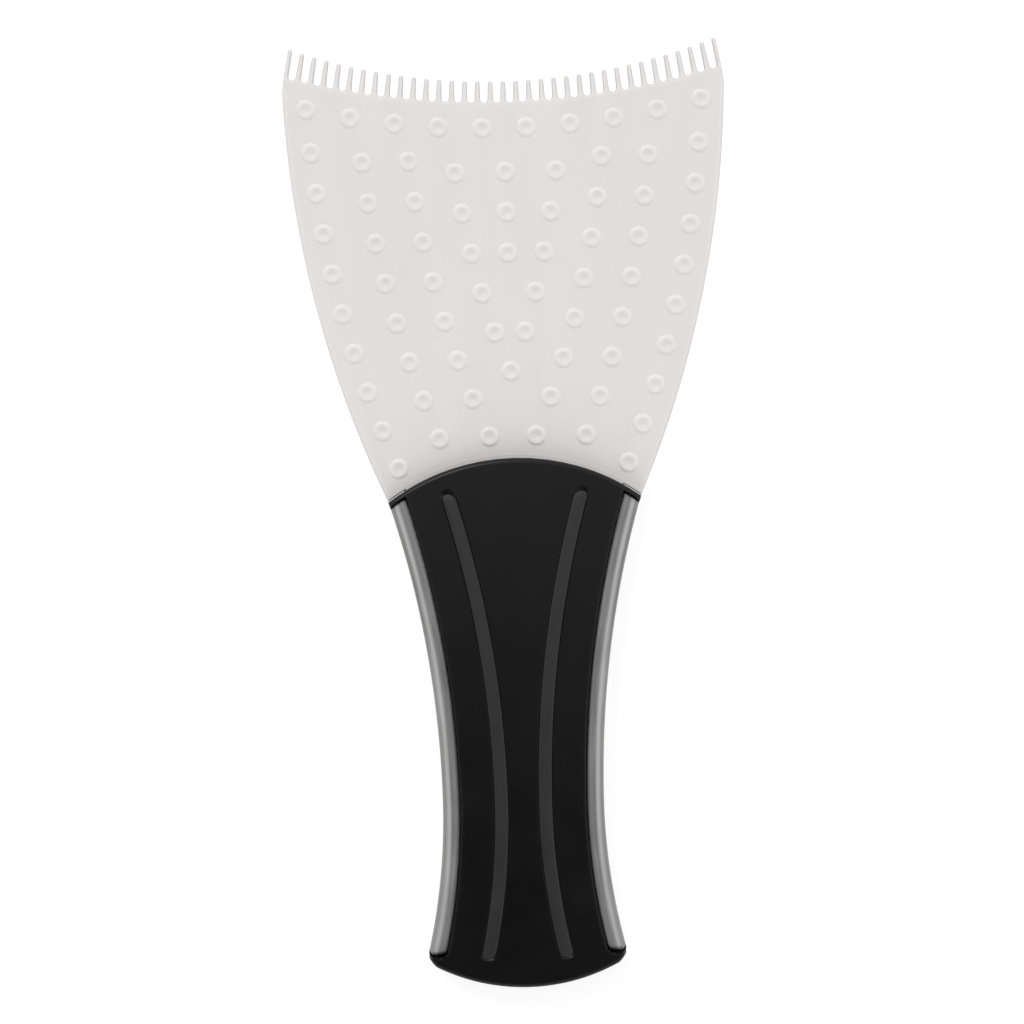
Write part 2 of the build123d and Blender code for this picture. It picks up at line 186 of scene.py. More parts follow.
# --- Curves of the handle --------------------------------------------------------------
def side_x(y, inset=0.0):
    """X of the handle's right side, moved inwards: two circles that touch at the waist."""
    radius = np.where(y > waist_y, upper_radius, lower_radius)
    return waist_half_width + radius - np.sqrt((radius + inset) ** 2 - (y - waist_y) ** 2)


def side_inset(x, y):
    """How far inside the nearer side a point lies: its distance from that side's circle."""
    radius = np.where(y > waist_y, upper_radius, lower_radius)
    return np.hypot(waist_half_width + radius - np.abs(x), y - waist_y) - radius


def top_arc_y(x, drop=0.0):
    """Y of the bowed top edge, moved inwards by drop."""
    return top_centre_y + np.sqrt((top_radius - drop) ** 2 - x**2)


def end_arc_y(x):
    """Y of the bowed end."""
    return end_centre_y - np.sqrt(end_radius**2 - x**2)


def crown_z(x, y):
    """Height of the front face: an arc along the handle, turned about an axis far below it."""
    line = crown_line_z + np.sqrt(crown_line_radius**2 - (y - crown_line_y) ** 2)
    return crown_axis_z + np.sqrt((line - crown_axis_z) ** 2 - x**2)


def round_over(distance, radius):
    """Share of its height that a rounded edge has reached: a quarter circle, then 1."""
    run = np.clip(distance / radius, 0.0, 1.0)
    return np.sqrt(1.0 - (1.0 - run) ** 2)


def bunched(count, reach):
    """Distances from 0 to reach that start close together: one minus a cosine."""
    return reach * (1.0 - np.cos(np.linspace(0.0, np.pi / 2, count)))


# --- Meshes ----------------------------------------------------------------------------
def grid_faces(rows, columns, closed):
    """Corner numbers of the quads of a grid; closed joins the last column to the first."""
    index = np.arange(rows * columns).reshape(rows, columns)
    if closed:
        index = np.hstack([index, index[:, :1]])
    corners = (index[:-1, :-1], index[:-1, 1:], index[1:, 1:], index[1:, :-1])
    return np.stack(corners, axis=-1).reshape(-1, 4)


def ring_faces(rows, columns, step):
    """Quads that join the border of one grid to the border of the next one, step points later."""
    index = np.arange(rows * columns).reshape(rows, columns)
    border = np.concatenate([index[0, :-1], index[:-1, -1], index[-1, :0:-1], index[:0:-1, 0]])
    ahead = np.roll(border, -1)
    return np.stack([border, border + step, ahead + step, ahead], axis=-1)


class Stock:
    """Points, faces and surface readings of a piece that is being made."""

    def __init__(self):
        self.points = []
        self.faces = []
        self.readings = {}
        self.count = 0

    def add(self, grids, closed=False, **readings):
        """Adds one grid of points, or several of the same size, with readings for each point."""
        rows, columns = grids.shape[-3:-1]
        batch = grids.reshape(-1, rows * columns, 3)
        starts = self.count + rows * columns * np.arange(len(batch))
        faces = grid_faces(rows, columns, closed)
        self.points.append(batch.reshape(-1, 3))
        self.faces.append((faces[None] + starts[:, None, None]).reshape(-1, 4))
        for name, values in readings.items():
            flat = np.broadcast_to(values, grids.shape[:-1]).reshape(-1)
            self.readings.setdefault(name, []).append(flat)
        self.count += len(batch) * rows * columns
        return self

    def add_pair(self, x, y, upper, lower, **readings):
        """Adds an upper and a lower sheet over the same plan, joined round their border."""
        rows, columns = x.shape
        start = self.count
        self.add(np.stack([x, y, upper], axis=-1), **readings)
        self.add(np.stack([x, y, lower], axis=-1), **readings)
        self.faces.append(start + ring_faces(rows, columns, rows * columns))
        return self

    def mirrored(self):
        """The same piece on the other side of the handle."""
        other = Stock()
        other.points = [points * (-1, 1, 1) for points in self.points]
        other.faces, other.readings, other.count = self.faces, self.readings, self.count
        return other

    def make(self, name, material, node, slot):
        """Makes the mesh, closes its seams and poles, turns its faces outwards and places it."""
        mesh = bpy.data.meshes.new(name)
        points = np.concatenate(self.points) * MM
        mesh.from_pydata(points.tolist(), [], np.concatenate(self.faces).tolist())
        for reading, values in self.readings.items():
            attribute = mesh.attributes.new(reading, "FLOAT", "POINT")
            attribute.data.foreach_set("value", np.concatenate(values).astype(np.float32))
        work = bmesh.new()
        work.from_mesh(mesh)
        bmesh.ops.remove_doubles(work, verts=work.verts, dist=1e-6)
        bmesh.ops.dissolve_degenerate(work, dist=1e-7, edges=work.edges)
        bmesh.ops.recalc_face_normals(work, faces=work.faces)
        work.to_mesh(mesh)
        work.free()
        mesh.shade_smooth()
        mesh.set_sharp_from_angle(angle=math.radians(42))
        mesh.materials.append(material)
        piece = bpy.data.objects.new(name, mesh)
        bpy.context.collection.objects.link(piece)
        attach(piece, "root")
        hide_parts(node)
        return piece


# --- Board -----------------------------------------------------------------------------
def reach(angle, centre_y, radius):
    """Distance from the teeth's focus to the far side of a circle on the centre line."""
    rise = focus_y - centre_y
    return rise * np.cos(angle) + np.sqrt(radius**2 - (rise * np.sin(angle)) ** 2)


def board_side_x(y):
    """X of the board's right side: an arc up to the corner, then the end tooth's flank."""
    arc = side_centre[0] + np.sqrt(side_radius**2 - (y - side_centre[1]) ** 2)
    flank = board_half_width - (y - board_corner_y) * end_tooth_inset / (tip_y - board_corner_y)
    return np.where(y > board_corner_y, flank, arc)


def teeth():
    """The comb, one grid for each tooth, and how far each point lies inside the outline.

    Columns run across a tooth, bunched at its flanks by a sine. Rows run along rays from
    the teeth's focus. Between two teeth the gap is a round bottom and two straight sides.
    The height is half the thickness times a quarter circle of the distance to the outline.
    """
    across = np.sin(np.linspace(-np.pi / 2, np.pi / 2, 13))
    axis = (np.arange(tooth_count) - (tooth_count - 1) / 2)[:, None, None] * tooth_angle
    left = reach(axis - tooth_angle / 2, gullet_line_y, gullet_line_radius)
    right = reach(axis + tooth_angle / 2, gullet_line_y, gullet_line_radius)
    bottom = left + (right - left) * (across + 1) / 2
    tip = reach(axis, tip_centre_y, tip_radius)
    length = bottom - tip

    root = -np.array([1.2, 0.8, 0.5, 0.3, 0.15, 0.05])[None, :, None] + 0 * length
    bowl = bunched(7, gullet_radius)[None, :, None] + 0 * length
    share = np.linspace(0, 1, 9)[None, 1:-1, None]
    shaft = gullet_radius + share * (length - gullet_radius - tooth_tip_round)
    end = length - (tooth_tip_round - bunched(7, tooth_tip_round))[None, :, None]
    above = np.concatenate([root, bowl, shaft, end], axis=1)
    ray = bottom - above
    left_to_tip = length - above

    flare = ((tip * tooth_angle - tooth_tip_width) / 2 - gullet_radius) / (length - gullet_radius)
    bowl_width = np.sqrt(np.clip(gullet_radius**2 - (gullet_radius - above) ** 2, 0, None))
    straight = gullet_radius + flare * (above - gullet_radius)
    gap = np.where(above < 0, 0.0, np.where(above < gullet_radius, bowl_width, straight))
    half_width = ray * tooth_angle / 2 - gap

    # The outer half of each end tooth reaches only to the line from corner to tip.
    corner_line = np.array([board_half_width - tip_corner[0], board_corner_y - tip_corner[1]])
    end_axis_x = ray * np.sin(end_tooth_angle) - tip_corner[0]
    end_axis_y = focus_y - ray * np.cos(end_tooth_angle) - tip_corner[1]
    turn = math.cos(end_tooth_angle) * corner_line[1] - math.sin(end_tooth_angle) * corner_line[0]
    outer_width = -(end_axis_x * corner_line[1] - end_axis_y * corner_line[0]) / turn
    tooth = np.arange(tooth_count)[:, None, None]
    is_outer = ((tooth == 0) & (across < 0)) | ((tooth == tooth_count - 1) & (across > 0))
    half_width = np.where(is_outer, outer_width, half_width)

    tip_run = np.clip(left_to_tip / tooth_tip_round, 0, 1)
    narrowed = half_width * np.sqrt(1 - (1 - tip_run) ** 2)
    angle = axis + across * narrowed / ray
    x = ray * np.sin(angle)
    y = focus_y - ray * np.cos(angle)

    inside = np.full(above.shape, FAR)
    for side in (-1, 1):
        beside = ray * np.abs(axis + side * tooth_angle / 2 - angle)
        around = np.sqrt(beside**2 + (gullet_radius - above) ** 2) - gullet_radius
        distance = np.where(above < gullet_radius, around, beside - gap)
        has_gap = tooth * side != (tooth_count - 1 if side > 0 else 0)
        inside = np.minimum(inside, np.where(has_gap, distance, FAR))
    from_tip = tooth_tip_round - np.hypot(across * narrowed, tooth_tip_round - left_to_tip)
    inside = np.where(left_to_tip < tooth_tip_round, np.minimum(inside, from_tip), inside)
    outside = np.where(is_outer, (1 - np.abs(across)) * half_width, FAR)
    along = np.clip(above / length, 0, 1)
    outer_round = side_round + (tooth_round - side_round) * along
    share = np.minimum(round_over(inside, tooth_round), round_over(outside, outer_round))
    height = (half_thickness - tooth_thinning * along) * share
    return x, y, height, np.minimum(inside, outside)


def plate(top_x, top_y):
    """The board between the handle and the teeth, and how far each point lies inside it.

    Rows blend from the foot of the teeth to the shoulder round the handle. Each row keeps
    the spacing of the teeth's columns and ends on the board's two sides.
    """
    shoulder_radius = top_radius + shoulder_gap
    shoulder_y = top_corner_y
    for _ in range(20):
        reach_x = board_side_x(shoulder_y)
        shoulder_y = top_centre_y + np.sqrt(shoulder_radius**2 - reach_x**2)
    spread = top_x / top_x[-1]
    foot_x = spread * reach_x
    foot_y = top_centre_y + np.sqrt(shoulder_radius**2 - foot_x**2)
    last = 1 - bunched(8, 0.02)[::-1]
    down = np.concatenate([np.linspace(0, 0.98, 36)[:-1], last])[:, None]
    y = (1 - down) * top_y + down * foot_y
    edge = y[:, -1:]
    x = top_x * board_side_x(edge) / board_side_x(edge[0])
    slope = np.sqrt(np.clip(side_radius**2 - (y - side_centre[1]) ** 2, 0, None)) / side_radius
    from_side = (board_side_x(y) - np.abs(x)) * slope
    from_shoulder = np.hypot(x, y - top_centre_y) - shoulder_radius
    share = np.minimum(round_over(from_side, side_round), round_over(from_shoulder, shoulder_round))
    return x, y, half_thickness * share, np.minimum(from_side, from_shoulder)


def tang():
    """The tongue of the board inside the handle: rows between its two sides, ends rounded."""
    steps = [bunched(6, 0.02), np.linspace(0.02, 0.94, 30)[1:-1], 1 - bunched(9, 0.06)[::-1]]
    down = np.concatenate(steps)[:, None]
    length = tang_length + tang_lead
    y = crest_y + tang_lead - down * length
    end_run = np.clip((1 - down) * length / tang_end_round, 0, 1)
    width = side_x(y, tang_inset) - tang_end_round * (1 - np.sqrt(1 - (1 - end_run) ** 2))
    across = np.sin(np.linspace(-np.pi / 2, np.pi / 2, 17))[None, :]
    x = across * width
    sag = np.where(y > top_corner_y - 4, top_arc_y(x, -tang_lead) - crest_y - tang_lead, 0)
    y = y + sag * np.clip((y - top_corner_y + 20) / 30, 0, 1)
    share = round_over((1 - np.abs(across)) * width, tang_edge_round)
    share = share * round_over((1 - down) * tang_length, tang_edge_round)
    return x, y, (half_thickness - parting_gap) * share


def circles_meet(inset, radius):
    """Lower crossing of two circles: the board's side moved inwards by inset, and one of
    this radius about the centre of the gullet line."""
    centre = np.array(side_centre)
    other = np.array([0.0, gullet_line_y])
    side = side_radius - inset
    gap = np.linalg.norm(other - centre)
    along = (gap**2 + side**2 - radius**2) / (2 * gap)
    across = math.sqrt(side**2 - along**2)
    unit = (other - centre) / gap
    foot = centre + along * unit
    turned = across * np.array([-unit[1], unit[0]])
    return min(foot - turned, foot + turned, key=lambda point: point[1])


def nub_places():
    """A row of nubs along the gullets, then columns that follow the board's sides."""
    row_radius = gullet_line_radius + nub_row_inset
    row_x = (np.arange(nub_row_count) - (nub_row_count - 1) / 2) * nub_row_pitch
    places = [(x, gullet_line_y - math.sqrt(row_radius**2 - x**2)) for x in row_x]
    limit = top_radius + nub_handle_clearance
    inner_column = nub_column_insets[-1]
    for inset, start in zip(nub_column_insets, nub_column_starts):
        radius = side_radius - inset
        x, y = circles_meet(inset, gullet_line_radius + start)
        angle = math.atan2(side_centre[1] - y, x - side_centre[0])
        while math.hypot(x, y - top_centre_y) > limit and x > nub_merge_distance:
            places += [(x, y), (-x, y)]
            if inset == inner_column and x > nub_centre_clearance:
                places.append((0.0, y))
            angle += nub_pitch / radius
            x = side_centre[0] + radius * math.cos(angle)
            y = side_centre[1] - radius * math.sin(angle)
        if x <= nub_merge_distance and math.hypot(x, y - top_centre_y) > limit:
            places.append((0.0, y))
    return np.array(places)


def nubs():
    """Every nub, and a painted highlight weight for each point, strongest at the crest of its ring.

    A profile is turned round. It climbs from its foot to a ring and dips inside it, both by
    a squared cosine, and its skirt closes it below the board's face.
    """
    ring = [0, 0.4, 0.8, 1.2, 1.6, 1.95, 2.15, 2.35, 2.55, 2.75, nub_radius, nub_radius, 0]
    distance = np.array(ring)
    outer = np.clip((distance - nub_crest_radius) / (nub_radius - nub_crest_radius), 0, 1)
    inner = np.clip(distance / nub_crest_radius, 0, 1)
    dip = nub_dimple * np.cos(np.pi / 2 * inner) ** 2
    height = nub_height * np.cos(np.pi / 2 * outer) ** 2 - dip - nub_sink
    height[-2:] = -nub_skirt
    turn = np.linspace(0, 2 * np.pi, 20, endpoint=False)
    places = nub_places()[:, None, None, :]
    x = places[..., 0] + distance[:, None] * np.cos(turn)
    y = places[..., 1] + distance[:, None] * np.sin(turn)
    z = parting_z + half_thickness + height[:, None] + 0 * x
    near_crest = np.clip(1 - np.abs(distance - nub_crest_radius) / nub_ring_width, 0, 1)
    # painted highlight: paler colour on each nub's ring, strongest at its crest
    painted_ring_highlight = near_crest[:, None] ** 1.5 + 0 * x
    return np.stack([x, y, z], axis=-1), painted_ring_highlight


def make_board(material):
    """The white board in one piece: its comb, its plate, its tang and its nubs."""
    stock = Stock()
    x, y, height, inside = teeth()
    for side in (1, -1):
        stock.add(np.stack([x, y, parting_z + side * height], axis=-1), edge=inside, nub=0.0)
    top_x = np.append(x[:, 0, :-1].reshape(-1), x[-1, 0, -1])
    top_y = np.append(y[:, 0, :-1].reshape(-1), y[-1, 0, -1])
    x, y, height, inside = plate(top_x, top_y)
    for side in (1, -1):
        stock.add(np.stack([x, y, parting_z + side * height], axis=-1), edge=inside, nub=0.0)
    x, y, height = tang()
    for side in (1, -1):
        stock.add(np.stack([x, y, parting_z + side * height], axis=-1), edge=FAR, nub=0.0)
    # the nubs carry their painted ring highlight in the reading nub
    domes, painted_ring_highlight = nubs()
    stock.add(domes, closed=True, edge=FAR, nub=painted_ring_highlight)
    return stock.make("toothed_board", material, "board", "board_white")


# --- Handle shells ---------------------------------------------------------------------
def handle_plan():
    """Plan of the handle: columns at set distances inside the sides, rows inside top and end.

    Every point is moved until it lies on its column and on its row. The two corners of the
    end are rounded by the mapping that turns a square into a disc.
    """
    outer = np.concatenate([bunched(7, outline_round), [1.8, 2.5, 3.2, 3.9, 4.5, 4.84]])
    channel = grip_width + bunched(6, channel_round)
    open_face = np.array([5.9, 7.1, 8.5, 9.9, 11.3, 12.5, 13.2])
    groove = inlay_half_width + inlay_gap
    lip = np.array([-0.2, -0.1, 0.0, 0.08, 0.16, 0.25])
    near = inlay_inset - groove - lip[::-1]
    far = inlay_inset + groove + lip
    bed = inlay_inset + np.array([-0.8, 0.0, 0.8])
    insets = np.concatenate([outer, channel, open_face, near, bed, far, [18.3]])
    middle = np.linspace(-1, 1, 9)[1:-1]
    column_inset = np.concatenate([insets, np.full(len(middle), insets[-1]), insets[::-1]])
    column_share = np.concatenate([-np.ones(len(insets)), middle, np.ones(len(insets))])

    foot_rows = np.concatenate([bunched(7, outline_round), np.arange(1.6, 12.0, 0.25)])
    rim = np.array([1.32, 1.39, 1.41, 1.46, 1.55, 1.7, 1.9, 2.3, 2.9, 3.6, 4.5, 5.5, 6.5])
    head_rows = np.concatenate([bunched(7, outline_round), rim, np.arange(7.3, 13.0, 0.22)])
    between = np.linspace(0, 1, 72)[1:-1]
    share = np.concatenate([0 * foot_rows, between, 1 + 0 * head_rows])[:, None]
    foot = np.concatenate([foot_rows, foot_rows[-1] + 0 * between, 0 * head_rows])[:, None]
    head = np.concatenate([0 * foot_rows, head_rows[-1] + 0 * between, head_rows[::-1]])[:, None]
    x = column_share * (side_x(waist_y) - column_inset) + 0 * share
    for _ in range(12):
        y = (1 - share) * (end_arc_y(x) + foot) + share * (top_arc_y(x) - head)
        x = column_share * side_x(y, column_inset)

    from_side = side_inset(x, y)
    from_end = y - end_arc_y(x)
    from_top = np.where(y > top_centre_y, top_radius - np.hypot(x, y - top_centre_y), 99.0)
    near_side = np.clip(1 - from_side / corner_reach, 0, 1)
    near_end = np.clip(1 - from_end / corner_reach, 0, 1)
    disc_side = near_side * np.sqrt(1 - near_end**2 / 2)
    disc_end = near_end * np.sqrt(1 - near_side**2 / 2)
    x = x - np.sign(x) * corner_reach * (near_side - disc_side)
    y = y + corner_reach * (near_end - disc_end)
    in_corner = (near_side > 0) & (near_end > 0)
    corner = corner_reach * (1 - np.hypot(disc_side, disc_end))
    from_outline = np.minimum(np.minimum(from_side, from_end), from_top)
    from_outline = np.where(in_corner, corner, from_outline)

    past_wall = from_side - grip_width
    below_grip = grip_low[1] - grip_gap - y
    corner_wall = past_wall + grip_corner_round
    corner_foot = below_grip + grip_corner_round
    rounded = np.hypot(corner_wall, corner_foot) - grip_corner_round
    plain = np.maximum(past_wall, below_grip)
    lower = np.where((corner_wall > 0) & (corner_foot > 0), rounded, plain)
    from_channel = np.maximum(lower, rim_width - from_top)
    beyond = np.maximum(y - (inlay_high[1] - inlay_half_width), inlay_low[1] + inlay_half_width - y)
    from_middle = np.hypot(from_side - inlay_inset, np.clip(beyond, 0, None))
    from_inlay = from_middle - inlay_half_width - inlay_gap
    return x, y, from_outline, from_channel, from_inlay


def sunk(from_inlay):
    """Depth of an inlay's bed: a smooth step that runs across the outline of the inlay."""
    run = np.clip(0.5 - from_inlay / bed_edge, 0.0, 1.0)
    return bed_depth * run**2 * (3 - 2 * run)


def make_front_shell(material, plan):
    """The front shell: the crowned face, lowered by its rounded edges, the two channels that
    the side grips fill and the beds of the inlays, over a hollow inside."""
    x, y, from_outline, from_channel, from_inlay = plan
    crown = crown_z(x, y)
    outer = crown - outline_round * (1 - round_over(from_outline, outline_round))
    outer -= channel_round * (1 - round_over(from_channel, channel_round))
    outer -= sunk(from_inlay)
    outer = np.where(from_channel <= ON_EDGE, parting_z, outer)
    walled = np.minimum(from_outline, from_channel)
    inner = np.where(walled > shell_wall, crown - shell_wall, parting_z)
    stock = Stock().add_pair(x, y, outer, inner, edge=walled)
    return stock.make("front_shell", material, "handle_front_shell", "handle_black")


def make_back_shell(material, plan):
    """The back shell: flat, with rounded edges, the same channels and shallow inlay beds."""
    x, y, from_outline, from_channel, from_inlay = plan
    outer = outline_round * (1 - round_over(from_outline, outline_round))
    outer += channel_round * (1 - round_over(from_channel, channel_round))
    outer += sunk(from_inlay)
    outer = np.where(from_channel <= ON_EDGE, parting_z - parting_gap, outer)
    walled = np.minimum(from_outline, from_channel)
    inner = np.where(walled > shell_wall, shell_wall, parting_z - parting_gap)
    stock = Stock().add_pair(x, y, inner, outer, edge=walled)
    return stock.make("back_shell", material, "handle_back_shell", "handle_black")


# --- Side grips and inlays -------------------------------------------------------------
def bead(inset, half_width, foot_y, head_y, low, high, power, foot_round, head_round):
    """A rounded bar that follows the handle's right side.

    Its section is a superellipse of this power between the heights low and high, carried
    along the side at a fixed inset and drawn in at both ends by a quarter circle.
    """
    turn = np.linspace(0, 2 * np.pi, 48, endpoint=False)
    across = np.sign(np.cos(turn)) * np.abs(np.cos(turn)) ** (2 / power)
    upward = np.sign(np.sin(turn)) * np.abs(np.sin(turn)) ** (2 / power)
    foot_rows = bunched(9, foot_round)
    head_rows = bunched(7, head_round)
    between = np.linspace(0, 1, 96)[1:-1]
    share = np.concatenate([0 * foot_rows, between, 1 + 0 * head_rows])[:, None]
    foot = np.concatenate([foot_rows, foot_round + 0 * between, 0 * head_rows])[:, None]
    head = np.concatenate([0 * foot_rows, head_round + 0 * between, head_rows[::-1]])[:, None]
    foot_draw = round_over(foot_rows, foot_round)
    head_draw = round_over(head_rows[::-1], head_round)
    drawn = np.concatenate([foot_draw, 1 + 0 * between, head_draw])[:, None]
    column_inset = inset + half_width * across * drawn
    y = (1 - share) * foot_y + share * head_y(column_inset)
    y = y + (1 - share) * foot - share * head
    x = side_x(y, column_inset)
    bottom, top = low(x, y), high(x, y)
    z = (bottom + top) / 2 + (top - bottom) / 2 * upward * drawn
    points = np.stack([x, y, z], axis=-1)
    return Stock().add(points, closed=True, across=across, upward=upward, along=y)


def under_rim(column_inset):
    """Y where a column of the side grip meets the rim, found by moving up the column."""
    y = top_corner_y + 0 * column_inset
    for _ in range(12):
        y = top_arc_y(side_x(y, column_inset), rim_width + grip_gap)
    return y


def make_side_grips(material):
    """The two soft bands that fill the channels down the sides of the handle."""
    right = bead(
        inset=grip_width / 2,
        half_width=grip_width / 2 - grip_gap,
        foot_y=grip_low[1],
        head_y=under_rim,
        low=lambda x, y: grip_low[2] + 0 * x,
        high=lambda x, y: crown_z(x, y) - grip_drop,
        power=3.6,
        foot_round=grip_corner_round,
        head_round=grip_head_round,
    )
    right.make("side_grip_band_right", material, "side_grip_right", "grip_grey")
    right.mirrored().make("side_grip_band_left", material, "side_grip_left", "grip_grey")


def make_inlays(material):
    """The four thin strips let into the faces of the handle."""
    front = bead(
        inset=inlay_inset,
        half_width=inlay_half_width,
        foot_y=inlay_low[1],
        head_y=lambda column_inset: inlay_high[1] + 0 * column_inset,
        low=lambda x, y: crown_z(x, y) - inlay_depth,
        high=lambda x, y: crown_z(x, y) + inlay_rise,
        power=3.2,
        foot_round=inlay_half_width,
        head_round=inlay_half_width,
    )
    front.make("front_strip_right", material, "front_inlay_right", "inlay_charcoal")
    front.mirrored().make("front_strip_left", material, "front_inlay_left", "inlay_charcoal")
    back = bead(
        inset=inlay_inset,
        half_width=inlay_half_width,
        foot_y=back_inlay_low[1],
        head_y=lambda column_inset: back_inlay_high[1] + 0 * column_inset,
        low=lambda x, y: 0 * x,
        high=lambda x, y: back_inlay_high[2] + 0 * x,
        power=5.0,
        foot_round=inlay_half_width,
        head_round=inlay_half_width,
    )
    back.make("back_strip_right", material, "back_inlay_right", "inlay_charcoal")
    back.mirrored().make("back_strip_left", material, "back_inlay_left", "inlay_charcoal")


# --- Finishes --------------------------------------------------------------------------
class Amount:
    """A shader value that takes part in Python sums; each sum adds its Math node."""

    def __init__(self, nodes, socket):
        self.nodes = nodes
        self.socket = socket

    def math(self, operation, *values):
        return self.nodes.math(operation, *values)

    def __add__(self, other):
        return self.math("ADD", self, other)

    def __sub__(self, other):
        return self.math("SUBTRACT", self, other)

    def __rsub__(self, other):
        return self.math("SUBTRACT", other, self)

    def __mul__(self, other):
        return self.math("MULTIPLY", self, other)

    def __truediv__(self, other):
        return self.math("DIVIDE", self, other)

    def __pow__(self, other):
        return self.math("POWER", self, other)

    __radd__ = __add__
    __rmul__ = __mul__

    def held(self, low, high):
        """The value, kept between low and high."""
        return self.math("MINIMUM", self.math("MAXIMUM", self, low), high)

    def fade(self, reach):
        """1 where the value is 0, falling away by a natural exponent over reach."""
        return self.math("EXPONENT", self * (-1.0 / reach))


class Nodes:
    """The node tree of a finish or of the surroundings."""

    def __init__(self, tree):
        self.tree = tree

    def feed(self, socket, value):
        if isinstance(value, Amount):
            self.tree.links.new(value.socket, socket)
        else:
            socket.default_value = value

    def node(self, kind, settings, inputs, output=0):
        """Adds a node: settings first, then the values or links of its sockets."""
        made = self.tree.nodes.new(kind)
        for key, value in settings.items():
            setattr(made, key, value)
        for key, value in inputs.items():
            named = made.inputs[key] if isinstance(key, int) else None
            socket = named or next(s for s in made.inputs if s.name == key and s.enabled)
            self.feed(socket, value)
        open_outputs = [s for s in made.outputs if s.enabled]
        return Amount(self, open_outputs[output])

    def math(self, operation, *values):
        return self.node("ShaderNodeMath", {"operation": operation}, dict(enumerate(values)))

    def place(self):
        """The point on the piece, in metres."""
        return self.node("ShaderNodeTexCoord", {}, {}, output=3)

    def axes(self, vector):
        """The x, y and z of a vector, one Amount each."""
        first = self.node("ShaderNodeSeparateXYZ", {}, {0: vector})
        outputs = first.socket.node.outputs
        return [Amount(self, socket) for socket in outputs]

    def stretched(self, vector, scale):
        return self.node("ShaderNodeMapping", {}, {"Vector": vector, "Scale": scale})

    def noise(self, vector, scale, detail=2.0, roughness=0.5):
        inputs = {"Vector": vector, "Scale": scale, "Detail": detail, "Roughness": roughness}
        return self.node("ShaderNodeTexNoise", {}, inputs)

    def reading(self, name):
        """A reading that the piece carries at each of its points."""
        return self.node("ShaderNodeAttribute", {"attribute_name": name}, {}, output=2)

    def blend(self, factor, first, second):
        settings = {"data_type": "RGBA"}
        return self.node("ShaderNodeMix", settings, {"Factor": factor, "A": first, "B": second})

    def bump(self, height, strength, distance, under=None):
        inputs = {"Height": height, "Strength": strength, "Distance": distance}
        if under is not None:
            inputs["Normal"] = under
        return self.node("ShaderNodeBump", {}, inputs)


class Finish(Nodes):
    """A procedural material with its Principled shader."""

    def __init__(self, name, **constants):
        self.material = bpy.data.materials.new(name)
        self.material.use_nodes = True
        super().__init__(self.material.node_tree)
        self.shader = self.tree.nodes["Principled BSDF"]
        for key, value in constants.items():
            self.shader.inputs[key.replace("_", " ")].default_value = value

    def set(self, key, value):
        self.feed(self.shader.inputs[key], value)


def grey(level, warmth=0.0):
    """A grey of this level, with a little more red and less blue by its warmth."""
    return (level * (1 + warmth), level, level * (1 - warmth / 2), 1.0)


def white_plastic():
    """Moulded white plastic: fine sparked grain, soft flow marks that fan out of the handle,
    painted shade that darkens it next to the handle, painted highlights just inside its rim
    and on the rings of its nubs, and painted shade that greys its very edge."""
    finish = Finish("white_moulded_plastic", Specular_IOR_Level=0.4)
    place = finish.place()
    x, y, z = finish.axes(place)
    rise = y - top_centre_y * MM
    from_handle = (x * x + rise * rise) ** 0.5 - top_radius * MM
    fan = x / (rise + 0.09)
    flow_lines = finish.node("ShaderNodeCombineXYZ", {}, {0: fan * 26.0, 1: rise * 9.0, 2: z})
    flow = finish.noise(flow_lines, 1.0, 3.0, 0.55)
    clouds = finish.noise(place, 38.0, 2.0)
    grain = finish.noise(place, 2600.0, 2.0, 0.6)
    specks = finish.noise(place, 420.0, 3.0, 0.6)
    # painted shade: the board's colour darkens within a few millimetres of the handle's top edge
    shade = from_handle.held(0.0, 1.0).fade(0.0065) * 0.5
    tone = (shade + (clouds - 0.5) * 0.22 + (flow - 0.5) * 0.3 + 0.12).held(0.0, 1.0)
    body = finish.blend(tone, grey(0.775, 0.036), grey(0.575, 0.042))
    edge = finish.reading("edge")
    # painted highlight: a pale line about 0.9 mm inside the board's outline, standing in for light
    # caught by the rounded edge
    bright = (1.0 - finish.math("ABSOLUTE", edge - 0.9) / 0.5).held(0.0, 1.0)
    # painted shade: the outermost 0.4 mm of the board is greyed in colour
    painted_edge_shade = (1.0 - edge / 0.4).held(0.0, 1.0)
    # painted highlights of the rim line and the nub rings, blended into the colour on the next line
    light = (bright * 0.3 + finish.reading("nub") * 0.45).held(0.0, 1.0)
    lit = finish.blend(light, body, grey(0.85, 0.03))
    finish.set("Base Color", finish.blend(painted_edge_shade * 0.7, lit, grey(0.45, 0.03)))
    finish.set("Roughness", (0.4 + (specks - 0.5) * 0.16 + (flow - 0.5) * 0.14).held(0.2, 0.8))
    soft = finish.bump(flow, 0.25, 0.0006)
    finish.set("Normal", finish.bump(grain, 0.16, 0.00006, soft))
    return finish.material


